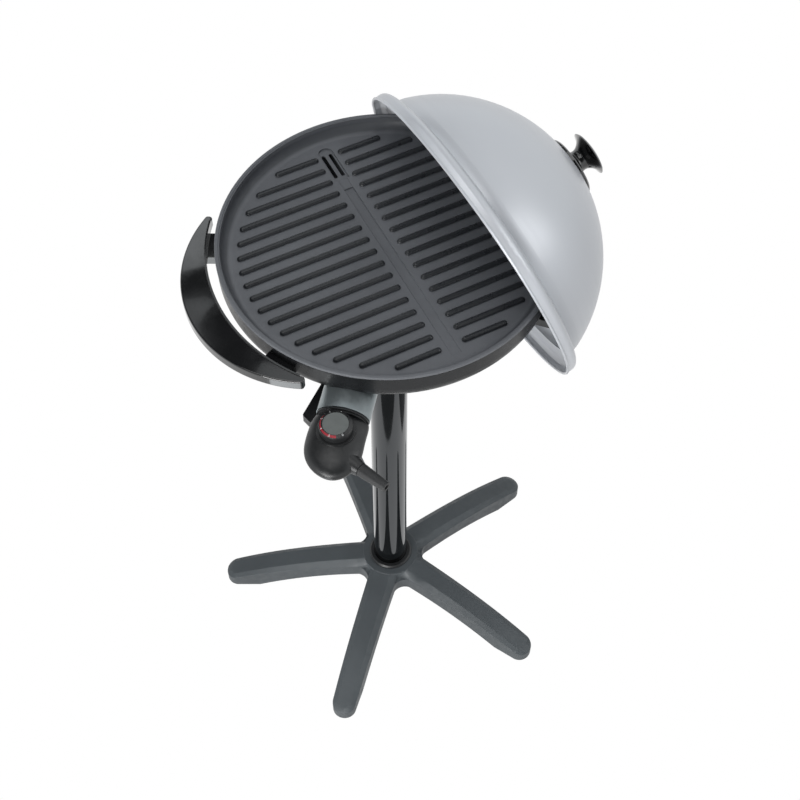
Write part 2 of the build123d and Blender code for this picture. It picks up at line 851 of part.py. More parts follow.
# Drip tray and its rails, under the drain
def drip_tray():
    bottom = tray_top - tray_depth
    length = tray_far - tray_near
    tray = extrude(RectangleRounded(tray_width, length, 10), amount=tray_depth, taper=4)
    tray = Pos(0, tray_middle, bottom) * tray
    tray = Pos(0, 0, 2 * bottom + tray_depth) * mirror(tray, Plane.XY)
    inner = Pos(0, tray_middle, bottom) * extrude(
        RectangleRounded(tray_width - 2 * tray_wall, length - 2 * tray_wall, 9), amount=tray_depth, taper=4
    )
    inner = Pos(0, 0, 2 * bottom + tray_depth + tray_wall) * mirror(inner, Plane.XY)
    flange = Pos(0, tray_middle, tray_top - tray_wall) * extrude(
        RectangleRounded(tray_width + 2 * tray_flange, length, 4), amount=tray_wall
    )
    lip = block(-22, 22, tray_far - 2, tray_far + 12, tray_top - 10, tray_top)
    lip = fillet(lip.edges().filter_by(Axis.Z).group_by(Axis.Y)[-1], 6)
    lip = lip - block(-19, 19, tray_far - 2, tray_far + 9.5, tray_top - 11, tray_top - 2)
    opening = Pos(0, tray_middle, tray_top - 3) * extrude(
        RectangleRounded(tray_width - 2 * tray_wall, length - 2 * tray_wall, 9), amount=6
    )
    return tray + flange + lip - inner - opening


def tray_rails():
    """Channels that carry the tray's side flanges, with a stop at their near ends."""
    outer = tray_width / 2 + tray_flange + 3
    inner = tray_width / 2 + 0.8
    low = tray_top - tray_wall - slide_gap - 2
    rails = []
    for side in (-1, 1):
        rail = block(inner, outer, tray_near - 4, tray_near - 4 + rail_length, low, housing_wall_foot)
        groove = block(
            inner - 1,
            tray_width / 2 + tray_flange + slide_gap,
            tray_near - slide_gap,
            tray_far,
            tray_top - tray_wall - slide_gap,
            tray_top + slide_gap,
        )
        rail = rail - groove - bowl_with_gap()
        rail = mirror(rail, Plane.YZ) if side < 0 else rail
        for y in rail_screw_places:
            rail = rail - cylinder(1.5 + screw_gap, low - 1, housing_bottom, x=side * rail_centre, y=y)
            rail = rail - cylinder(3.4, low - 1, tray_top + 2, x=side * rail_centre, y=y)
        rails.append(rail)
    return rails


def rail_screws():
    screws = []
    for x in (-rail_centre, rail_centre):
        for y in rail_screw_places:
            screws.append(Pos(x, y, tray_top + 2) * screw(3, 1.6, 1.5, 10))
    return screws


# Thermostat hood, terminal block and pins, fixed to the head
def probe_hood():
    hood = oval_bar(hood_half_width, hood_half_height, hood_inner_end, hood_outer_end, z=hood_axis_z)
    hood = hood - oval_bar(
        hood_half_width - hood_wall,
        hood_half_height - hood_wall,
        hood_inner_end - 1,
        hood_outer_end + 1,
        z=hood_axis_z,
    )
    for side in (-1, 1):
        ear = block(hood_inner_end, hood_inner_end + 12, side * 30 - 12, side * 30 + 12, ear_z, ear_z + 3)
        ear = ear - oval_bar(
            hood_half_width - hood_wall / 2,
            hood_half_height - hood_wall / 2,
            hood_inner_end - 1,
            hood_inner_end + 13,
            z=hood_axis_z,
        )
        ear = ear - cylinder(1.5 + screw_gap, ear_z - 1, ear_z + 4, x=hood_inner_end + 6, y=side * ear_offset)
        hood = hood + ear
    return Rot(0, 0, probe_azimuth) * hood


def hood_brackets():
    """Legs that hang the hood's ears from the plate's underside."""
    foot_z = ear_z + 3
    legs = []
    for side in (-1, 1):
        y = side * ear_offset
        leg = block(hood_inner_end + 1, hood_inner_end + 11, y - 4, y + 4, foot_z, plate_under_z)
        leg = leg - cylinder(1.5 + screw_gap, foot_z - 1, foot_z + 12, x=hood_inner_end + 6, y=y)
        legs.append(Rot(0, 0, probe_azimuth) * leg)
    return legs


def hood_screws():
    fastener = screw(3, 1.8, 1.5, 12)
    places = [Pos(hood_inner_end + 6, side * ear_offset, ear_z) for side in (-1, 1)]
    return [Rot(0, 0, probe_azimuth) * place * fastener for place in places]


def terminal_block():
    front = hood_inner_end + 1
    plug = oval_bar(
        hood_plug_half_width,
        hood_plug_half_height,
        front,
        front + block_thickness,
        z=hood_axis_z,
    )
    for side in (-1, 1):
        y = side * pin_offset
        plug = plug - rod(pin_diameter / 2 + screw_gap, front - 1, front + 19, y=y, z=pin_z)
    plug = plug - rod(probe_diameter / 2 + slide_gap, hood_inner_end, hood_inner_end + 20, z=probe_z)
    return Rot(0, 0, probe_azimuth) * plug


def terminal_pins():
    pins = []
    for side in (-1, 1):
        y = side * pin_offset
        pin = rod(pin_diameter / 2, element_end + 0.3, pin_end, y=y, z=pin_z)
        pin = chamfer(pin.edges().sort_by(Axis.X)[-1], 1)
        strap = block(element_end + 0.3, element_end + 1.6, y - 4, y + 4, pin_z - 3, element_z + 3)
        pins.append(Rot(0, 0, probe_azimuth) * (pin + strap))
    return pins


# Thermostat: two moulded half shells round the switch, with the probe and contacts in front
def shell_form(inset):
    """The lofted body. An inset makes the smaller form of the space inside the wall."""
    sections = []
    for distance, offset, half_width, half_height, centre_z in shell_stations:
        narrow = min(inset, half_height * 0.6)
        shift = inset if distance == shell_stations[0][0] else 0
        back = inset * 1.4 if distance == shell_stations[-1][0] else 0
        plane = Plane(origin=(distance + shift - back, offset, centre_z), x_dir=(0, 1, 0), z_dir=(1, 0, 0))
        sections.append(plane * Ellipse(half_width - narrow, half_height - narrow))
    return loft(sections)


def thermostat_body():
    """The outer form with its plug, knob boss and cord neck, hollowed, before it is parted."""
    body = shell_form(0)
    nose_end = shell_start + lip_width
    body = body + oval_bar(hood_plug_half_width, hood_plug_half_height, nose_start, nose_end, z=hood_axis_z)
    lip_start = shell_start - lip_width
    lip = oval_bar(hood_half_width - 0.8, hood_half_height - 0.8, lip_start, shell_start, z=hood_axis_z)
    body = body + lip
    body = body + cylinder(boss_radius, parting_z, boss_top, x=knob_distance, y=knob_offset)
    direction = Vector(boot_end[0] - boot_start[0], boot_end[1] - boot_start[1], 0).normalized()
    neck_start = Vector(boot_start[0], boot_start[1], boot_z) - direction * 22
    neck = Cone(15, boot_radius + 0.4, 22, align=(Align.CENTER, Align.CENTER, Align.MIN))
    body = body + Plane(origin=neck_start, z_dir=direction) * neck
    body = body - shell_form(shell_wall)
    body = body - oval_bar(
        hood_plug_half_width - shell_wall,
        hood_plug_half_height - shell_wall,
        nose_start + shell_wall,
        lip_start,
        z=hood_axis_z,
    )
    first = shell_stations[0]
    body = body - oval_bar(first[2] - 7, first[3] - 3, lip_start - 1, first[0] + shell_wall + 1, z=first[4])
    for side in (-1, 1):
        y = side * pin_offset
        body = body - rod(contact_radius + screw_gap, nose_start - 1, nose_start + 4, y=y, z=pin_z)
    body = body - rod(probe_diameter / 2 + screw_gap, nose_start - 1, nose_start + 4, z=probe_z)
    shaft_hole = shaft_diameter / 2 + running_gap
    body = body - cylinder(shaft_hole, parting_z, boss_top + 1, x=knob_distance, y=knob_offset)
    for x, y in shell_screw_places:
        pillar = cylinder(4.2, parting_z - 30, parting_z + 30, x=x, y=y) & shell_form(0.5)
        body = body + pillar
        body = body - cylinder(1.5 + screw_gap, parting_z - 30, parting_z + 8, x=x, y=y)
        body = body - cylinder(3.3, parting_z - 30, shell_screw_seat, x=x, y=y)
    for x in switch_rest_places:
        rest = block(x - 2, x + 2, knob_offset - 13, knob_offset + 13, parting_z - 30, switch_bottom)
        body = body + (rest & shell_form(0.5))
    return body


def thermostat_halves():
    body = thermostat_body()
    upper = body & block(nose_start - 5, 360, -80, 90, parting_z, parting_z + 60)
    lower = body & block(nose_start - 5, 360, -80, 90, parting_z - 60, parting_z - 0.3)
    return Rot(0, 0, probe_azimuth) * upper, Rot(0, 0, probe_azimuth) * lower


def shell_screws():
    fastener = screw(3, 1.8, 1.5, 13)
    places = [Pos(x, y, shell_screw_seat) for x, y in shell_screw_places]
    return [Rot(0, 0, probe_azimuth) * place * fastener for place in places]


def thermostat_switch():
    base = block(254, 294, knob_offset - 13, knob_offset + 13, switch_bottom, switch_bottom + 8)
    stack = block(256, 263, knob_offset - 5, knob_offset + 5, switch_bottom + 8, switch_bottom + 15)
    leaf = block(256, 292, knob_offset - 4, knob_offset + 4, switch_bottom + 15, switch_bottom + 16)
    shaft_hole = shaft_diameter / 2 + slide_gap
    shaft_place = cylinder(shaft_hole, switch_bottom + 2, switch_bottom + 20, x=knob_distance, y=knob_offset)
    return Rot(0, 0, probe_azimuth) * (base + stack + leaf - shaft_place)


def contact_sleeves():
    sleeves = []
    for side in (-1, 1):
        y = side * pin_offset
        sleeve = rod(contact_radius, hood_inner_end + 12, nose_start + 14, y=y, z=pin_z)
        sleeve = sleeve - rod(pin_diameter / 2 + 0.15, hood_inner_end + 11, nose_start + 10, y=y, z=pin_z)
        sleeves.append(Rot(0, 0, probe_azimuth) * sleeve)
    return sleeves


def sensor_probe():
    probe = rod(probe_diameter / 2, probe_tip, nose_start + 12, z=probe_z)
    probe = fillet(probe.edges().sort_by(Axis.X)[0], probe_diameter * 0.45)
    return Rot(0, 0, probe_azimuth) * probe


def strain_relief():
    start = Vector(boot_start[0], boot_start[1], boot_z)
    direction = Vector(boot_end[0] - boot_start[0], boot_end[1] - boot_start[1], 0)
    length = direction.length
    boot = Cone(boot_radius, boot_tip_radius, length - 0.6, align=(Align.CENTER, Align.CENTER, Align.MIN))
    cord_hole = Cylinder(cord_hole_radius, 20, align=(Align.CENTER, Align.CENTER, Align.MIN))
    boot = boot - Pos(0, 0, length - 15) * cord_hole
    boot = Plane(origin=start + direction.normalized() * 0.6, z_dir=direction) * boot
    return Rot(0, 0, probe_azimuth) * boot


# Temperature knob
def knob_place(shape):
    return Rot(0, 0, probe_azimuth) * Pos(knob_distance, knob_offset, boss_top + 0.4) * shape


def control_knob():
    shell = turned_outline(
        (
            (0, 0),
            (knob_radius, 0),
            (knob_radius, knob_height - 3.2),
            (knob_radius - 0.3, knob_height - 2.2),
            (knob_radius - 4.2, knob_height - 0.8),
            (knob_radius - 4.2, knob_height - 2),
            (0, knob_height - 2),
        )
    )
    shell = shell - cylinder(knob_radius - 2.5, -1, 2) + cylinder(7, 0, 3)
    return knob_place(shell - cylinder(shaft_diameter / 2 + 0.02, -1, knob_height - 3.5))


def knob_cap():
    cap = cylinder(knob_radius - 4.4, knob_height - 2, knob_height)
    return knob_place(fillet(cap.edges().sort_by(Axis.Z)[-1], 0.8))


def dial_ring():
    ring = turned_outline(
        (
            (knob_radius - 4.2, knob_height - 0.8),
            (knob_radius - 0.3, knob_height - 2.2),
            (knob_radius - 0.3, knob_height - 1.6),
            (knob_radius - 4.0, knob_height - 0.1),
            (knob_radius - 4.2, knob_height - 0.1),
        )
    )
    return knob_place(ring)


def knob_shaft():
    low = switch_bottom + 2.4 - boss_top - 0.4
    return knob_place(cylinder(shaft_diameter / 2, low, knob_height - 3.6))


# Lid: a spun dome with a stepped skirt, and a turned knob on a round plate
def dome_arcs(inset):
    """The dome's crown and shoulder arcs, tangent to each other, drawn from the axis outward."""
    centre_z = lid_height - dome_crown
    knuckle = (dome_base_radius - dome_knuckle, dome_base_height)
    angle = atan2(knuckle[1] - centre_z, knuckle[0])
    crown = dome_crown - inset
    shoulder = dome_knuckle - inset
    top = (0, centre_z + crown)
    half = (pi / 2 + angle) / 2
    middle = (crown * cos(half), centre_z + crown * sin(half))
    joint = (crown * cos(angle), centre_z + crown * sin(angle))
    bulge = (knuckle[0] + shoulder * cos(angle / 2), knuckle[1] + shoulder * sin(angle / 2))
    foot = (knuckle[0] + shoulder, knuckle[1])
    return ThreePointArc(top, middle, joint), ThreePointArc(joint, bulge, foot)


def lid_dome():
    crown, shoulder = dome_arcs(0)
    inner_crown, inner_shoulder = dome_arcs(lid_wall)
    step_radius = lid_radius - 7.0
    step_z = dome_base_height - 4.0
    skirt = lid_radius - 1.2
    inner_foot = (dome_base_radius - lid_wall, dome_base_height)
    outer = (
        crown,
        shoulder,
        Line(shoulder @ 1, (step_radius, step_z)),
        ThreePointArc((step_radius, step_z), (skirt - 1.8, step_z - 3.0), (skirt, step_z - 8.0)),
        Line((skirt, step_z - 8.0), (skirt, 1.0)),
        Line((skirt, 1.0), (skirt - lid_wall, 1.0)),
        Line((skirt - lid_wall, 1.0), (skirt - lid_wall, step_z - 8.0)),
        ThreePointArc(
            (skirt - lid_wall, step_z - 8.0),
            (skirt - lid_wall - 1.5, step_z - 4.2),
            (step_radius - 0.4, step_z - lid_wall),
        ),
        Line((step_radius - 0.4, step_z - lid_wall), (inner_foot[0], dome_base_height - lid_wall)),
        Line((inner_foot[0], dome_base_height - lid_wall), inner_foot),
        inner_shoulder,
        inner_crown,
        Line(inner_crown @ 0, crown @ 0),
    )
    dome = turned(*outer)
    bead = revolve(Plane.XZ * Pos(lid_radius - 1.9, 1.5) * RegularPolygon(1.9, 8), Axis.Z)
    dome = dome + bead
    return dome - cylinder(lid_screw_radius + screw_gap, lid_height - 10, lid_height + 5)


def dome_filled():
    crown, shoulder = dome_arcs(0)
    return turned(
        crown,
        shoulder,
        Line(shoulder @ 1, (0, dome_base_height)),
        Line((0, dome_base_height), crown @ 0),
    )


def lid_plate():
    blank = turned_outline(
        (
            (0, lid_height - 8),
            (lid_plate_radius, lid_height - 8),
            (lid_plate_radius, lid_height - 1.2),
            (lid_plate_radius - 2, lid_height + 0.6),
            (lid_knob_foot + 2, lid_height + 4),
            (0, lid_height + 4),
        )
    )
    blank = blank - Pos(0, 0, seat_gap) * dome_filled()
    return blank - cylinder(lid_screw_radius + screw_gap, lid_height - 10, lid_height + 10)


def lid_knob():
    foot_z = lid_height + 4
    edge_z = lid_knob_top - lid_knob_crown_rise
    crown = (lid_knob_crown_radius**2 + lid_knob_crown_rise**2) / (2 * lid_knob_crown_rise)
    half = asin(lid_knob_crown_radius / crown) / 2
    waist = (lid_knob_neck + 1, foot_z + 12)
    rim = (lid_knob_radius, edge_z - 2)
    knob = turned(
        Line((0, foot_z), (lid_knob_foot, foot_z)),
        ThreePointArc((lid_knob_foot, foot_z), (lid_knob_neck + 0.2, foot_z + 6), waist),
        ThreePointArc(waist, (lid_knob_neck + 6, foot_z + 18.5), rim),
        Line(rim, (lid_knob_crown_radius, edge_z)),
        ThreePointArc(
            (lid_knob_crown_radius, edge_z),
            (crown * sin(half), lid_knob_top - crown + crown * cos(half)),
            (0, lid_knob_top),
        ),
        Line((0, lid_knob_top), (0, foot_z)),
    )
    return knob - cylinder(lid_screw_radius + screw_gap, foot_z - 1, foot_z + 16)


def lid_washer():
    washer = cylinder(9, lid_height - lid_wall - 2.2, lid_height - lid_wall - 0.4)
    return washer - cylinder(lid_screw_radius + screw_gap, lid_height - 10, lid_height)


def lid_screw():
    return Pos(0, 0, lid_height - lid_wall - 2.2) * screw(5, 2.6, lid_screw_radius, 20)


def parked(shape):
    """Moves a lid piece from the lid's own frame to its place over the plate's right side.

    The lid stands on edge round the plate and the right handle, and its stepped skirt leans on
    the plate's rim.
    """
    turn, lean = radians(lid_turn), radians(lid_lean)
    axis = Vector(sin(lean) * cos(turn), sin(lean) * sin(turn), cos(lean))
    up_the_rim = Vector(-cos(lean) * cos(turn), -cos(lean) * sin(turn), sin(lean))
    return Plane(origin=Vector(*lid_place), x_dir=up_the_rim, z_dir=axis) * shape


def save(name, pieces):
    if isinstance(pieces, (list, tuple)):
        pieces = Compound(children=[solid for piece in pieces for solid in piece.solids()])
    export_step(pieces, f"parts/{name}.step")


os.makedirs("parts", exist_ok=True)
upper_shell, lower_shell = thermostat_halves()

save("base_star", base_star())
save("foot_pads", foot_pads())
save("base_collar", base_collar())
save("base_bolt", base_bolt())
save("base_washer", base_washer())
save("column_tube", column_tube())
save("column_plug", column_plug())
save("column_cap", column_cap())

save("column_socket", column_socket())
save("socket_screws", socket_screws())
save("housing_bowl", housing_bowl())
save("heat_reflector", heat_reflector())
save("reflector_screws", reflector_screws())
save("grill_plate", grill_plate())
save("plate_screws", plate_screws())
save("heating_element", heating_element())
save("element_clamps", element_clamps())
save("clamp_screws", clamp_screws())
save("left_handle", Rot(0, 0, 180) * handle())
save("right_handle", handle())
save("handle_screws", handle_screws())
save("table_feet", around(foot_azimuths, table_foot()))
save("table_foot_pads", table_foot_pads())
save("table_foot_screws", table_foot_screws())
save("tray_rails", tray_rails())
save("rail_screws", rail_screws())
save("probe_hood", probe_hood())
save("hood_brackets", hood_brackets())
save("hood_screws", hood_screws())
save("terminal_block", terminal_block())
save("terminal_pins", terminal_pins())

save("drip_tray", drip_tray())

save("thermostat_upper_shell", upper_shell)
save("thermostat_lower_shell", lower_shell)
save("shell_screws", shell_screws())
save("thermostat_switch", thermostat_switch())
save("contact_sleeves", contact_sleeves())
save("sensor_probe", sensor_probe())
save("strain_relief", strain_relief())

save("control_knob", control_knob())
save("dial_ring", dial_ring())
save("knob_cap", knob_cap())
save("knob_shaft", knob_shaft())

save("lid_dome", parked(lid_dome()))
save("lid_plate", parked(lid_plate()))
save("lid_knob", parked(lid_knob()))
save("lid_washer", parked(lid_washer()))
save("lid_screw", parked(lid_screw()))
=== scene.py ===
import bpy
import bmesh
from math import atan2, cos, radians, sin
from mathutils import Matrix, Vector
from mathutils.bvhtree import BVHTree


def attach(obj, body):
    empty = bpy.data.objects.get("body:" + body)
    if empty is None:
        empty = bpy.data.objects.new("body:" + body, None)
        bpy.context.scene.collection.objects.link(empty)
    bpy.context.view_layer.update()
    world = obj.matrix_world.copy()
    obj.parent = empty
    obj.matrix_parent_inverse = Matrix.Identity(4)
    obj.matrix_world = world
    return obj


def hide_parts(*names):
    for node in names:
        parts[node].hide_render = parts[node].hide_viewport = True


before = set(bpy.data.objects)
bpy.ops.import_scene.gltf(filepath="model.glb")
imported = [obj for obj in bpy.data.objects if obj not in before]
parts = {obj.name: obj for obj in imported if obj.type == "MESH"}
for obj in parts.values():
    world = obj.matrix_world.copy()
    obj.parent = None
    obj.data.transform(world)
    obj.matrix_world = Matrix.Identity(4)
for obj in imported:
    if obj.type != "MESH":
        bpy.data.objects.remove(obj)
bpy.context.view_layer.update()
scene = bpy.context.scene

# Places that the details share with the CAD, in metres
PROBE_AZIMUTH = radians(-129.4)
LID_ORIGIN = Vector((0.1231, 0.0033, 0.8468))
LID_AXIS = Vector((0.947498, 0.065426, 0.312998))
LID_RISE = Vector((-0.312254, -0.021561, 0.949754))
KNOB_DISTANCE = 0.2715
KNOB_OFFSET = -0.002
KNOB_BASE = 0.8787
LEG_AZIMUTHS = [radians(10.5 + 72 * number) for number in range(5)]
LEG_REACH = 0.288
TIP_RADIUS = 0.0192
TIP_FLAT_RADIUS = 0.0117
CHAMFER_DROP = 0.0044
RING_FOOT = (0.0203, 0.0104)
RING_TOP = (0.0166, 0.0119)
KNOB_CENTRE = Matrix.Rotation(PROBE_AZIMUTH, 4, "Z") @ Vector((KNOB_DISTANCE, KNOB_OFFSET, KNOB_BASE))
RANGE_START, RANGE_END = 112, 246
NUMERAL_SIZE = 0.0042
NUMERALS = (("1", 42), ("2", 86), ("3", 130), ("4", 175), ("5", 220), ("0", 272))
CEILING = 2.5
FLOOR_CARD_HEIGHT = 0.002


# Camera: fitted to the photograph
camera_data = bpy.data.cameras.new("camera")
camera = bpy.data.objects.new("camera", camera_data)
scene.collection.objects.link(camera)
camera.location = (-0.5472, -1.1105, 2.3776)
camera.rotation_euler = (radians(34.1), 0, radians(-27))
camera_data.sensor_width = 36
camera_data.lens = 67.15
camera_data.clip_end = 50
scene.camera = camera
scene.view_settings.view_transform = "Standard"


# Materials
class Finish:
    """A procedural material with short calls for its layers."""

    def __init__(self, name, color, roughness, metallic=0.0, **sockets):
        self.material = bpy.data.materials.new(name)
        self.material.use_nodes = True
        self.tree = self.material.node_tree
        self.shader = self.tree.nodes["Principled BSDF"]
        self.shader.inputs["Base Color"].default_value = (*color, 1)
        self.shader.inputs["Roughness"].default_value = roughness
        self.shader.inputs["Metallic"].default_value = metallic
        for socket, value in sockets.items():
            self.shader.inputs[socket.replace("_", " ")].default_value = value
        self.color = color
        self.normal = None

    def node(self, kind, **settings):
        made = self.tree.nodes.new(kind)
        for key, value in settings.items():
            setattr(made, key, value)
        return made

    def link(self, source, target):
        self.tree.links.new(source, target)

    def coordinates(self, location=(0, 0, 0), rotation=(0, 0, 0)):
        """Object coordinates, moved into a frame of their own."""
        place = self.node("ShaderNodeTexCoord")
        mapping = self.node("ShaderNodeMapping", vector_type="TEXTURE")
        mapping.inputs["Location"].default_value = location
        mapping.inputs["Rotation"].default_value = rotation
        self.link(place.outputs["Object"], mapping.inputs["Vector"])
        return mapping.outputs["Vector"]

    def noise(self, scale, detail=4.0, vector=None):
        made = self.node("ShaderNodeTexNoise")
        made.inputs["Scale"].default_value = scale
        made.inputs["Detail"].default_value = detail
        made.inputs["Roughness"].default_value = 0.55
        self.link(vector or self.coordinates(), made.inputs["Vector"])
        return made.outputs["Fac"]

    def ramp(self, source, low, high, stops=(0.35, 0.65)):
        made = self.node("ShaderNodeMapRange")
        made.inputs["From Min"].default_value = stops[0]
        made.inputs["From Max"].default_value = stops[1]
        made.inputs["To Min"].default_value = low
        made.inputs["To Max"].default_value = high
        self.link(source, made.inputs["Value"])
        return made.outputs["Result"]

    def math(self, operation, first, second=None, clamp=False):
        made = self.node("ShaderNodeMath", operation=operation, use_clamp=clamp)
        for index, value in enumerate((first,) if second is None else (first, second)):
            if isinstance(value, (int, float)):
                made.inputs[index].default_value = value
            else:
                self.link(value, made.inputs[index])
        return made.outputs["Value"]

    def mix(self, factor, first, second):
        made = self.node("ShaderNodeMix", data_type="RGBA")
        self.link(factor, made.inputs["Factor"])
        for socket, value in ((6, first), (7, second)):
            if isinstance(value, tuple):
                made.inputs[socket].default_value = (*value, 1)
            else:
                self.link(value, made.inputs[socket])
        return made.outputs[2]

    def paint(self, source):
        self.link(source, self.shader.inputs["Base Color"])

    def source_of(self, name):
        """What feeds a socket now."""
        return self.shader.inputs[name].links[0].from_socket

    def split(self, vector):
        """The three parts of a vector."""
        made = self.node("ShaderNodeSeparateXYZ")
        self.link(vector, made.inputs["Vector"])
        return made.outputs["X"], made.outputs["Y"], made.outputs["Z"]

    def radius(self, x, y):
        return self.math("SQRT", self.math("ADD", self.math("POWER", x, 2), self.math("POWER", y, 2)))

    def vary_color(self, other, scale, stops=(0.35, 0.65)):
        """Soft patches of a second colour."""
        factor = self.ramp(self.noise(scale), 0.0, 1.0, stops)
        self.paint(self.mix(factor, self.color, other))

    def vary_roughness(self, low, high, scale):
        self.link(self.ramp(self.noise(scale, 5.0), low, high), self.shader.inputs["Roughness"])

    def round_edges(self, radius):
        """Rounds the shading of sharp edges."""
        self.normal = self.node("ShaderNodeBevel", samples=4)
        self.normal.inputs["Radius"].default_value = radius
        self.link(self.normal.outputs["Normal"], self.shader.inputs["Normal"])

    def bump(self, source, strength, distance):
        made = self.node("ShaderNodeBump")
        made.inputs["Strength"].default_value = strength
        made.inputs["Distance"].default_value = distance
        self.link(source, made.inputs["Height"])
        if self.normal:
            self.link(self.normal.outputs["Normal"], made.inputs["Normal"])
        self.normal = made
        self.link(made.outputs["Normal"], self.shader.inputs["Normal"])

    def grain(self, scale, strength, distance):
        self.bump(self.noise(scale, 3.0), strength, distance)

    def painted_edge_highlight(self, color, radius, amount):
        """A painted highlight: a lighter line along edges, found by comparing rounded and true normals,
        broken up by noise.
        """
        bevel = self.node("ShaderNodeBevel", samples=4)
        bevel.inputs["Radius"].default_value = radius
        geometry = self.node("ShaderNodeNewGeometry")
        dot = self.node("ShaderNodeVectorMath", operation="DOT_PRODUCT")
        self.link(bevel.outputs["Normal"], dot.inputs[0])
        self.link(geometry.outputs["Normal"], dot.inputs[1])
        edge = self.ramp(dot.outputs["Value"], amount, 0.0, (0.80, 0.985))
        broken = self.ramp(self.noise(180.0), 0.35, 1.0)
        factor = self.math("MULTIPLY", edge, broken, clamp=True)
        self.paint(self.mix(factor, self.source_of("Base Color"), color))


def srgb(red, green, blue):
    """A colour given in the picture's own 0 to 255 steps."""
    values = []
    for step in (red, green, blue):
        part = step / 255
        values.append(part / 12.92 if part <= 0.04045 else ((part + 0.055) / 1.055) ** 2.4)
    return tuple(values)


def dress(finish, *names):
    for name in names:
        thing = parts[name]
        if not thing.material_slots:
            thing.data.materials.append(finish.material)
        for slot in thing.material_slots:
            slot.link = "OBJECT"
            slot.material = finish.material


def new_object(name, mesh):
    thing = bpy.data.objects.new(name, mesh)
    scene.collection.objects.link(thing)
    return thing


def plate_masks(finish):
    """Masks for painted shade: the ribs and bar, the wall round the floor, and a painted shadow line at the
    seam under the rim's edge.
    """
    x, y, z = finish.split(finish.coordinates())
    reach = finish.radius(x, y)
    high = finish.ramp(z, 0.0, 1.0, (0.9004, 0.9022))
    ribs = finish.math("MULTIPLY", high, finish.ramp(reach, 1.0, 0.0, (0.1955, 0.1975)), clamp=True)
    beyond = finish.math("MULTIPLY", high, finish.ramp(reach, 0.0, 1.0, (0.2005, 0.2030)))
    wall_shade = finish.math("MULTIPLY", beyond, finish.ramp(reach, 1.0, 0.0, (0.2128, 0.2142)), clamp=True)
    low = finish.ramp(z, 1.0, 0.0, (0.9158, 0.9166))
    seam_shadow = finish.math("MULTIPLY", low, finish.ramp(reach, 0.0, 1.0, (0.2180, 0.2186)), clamp=True)
    return ribs, wall_shade, seam_shadow


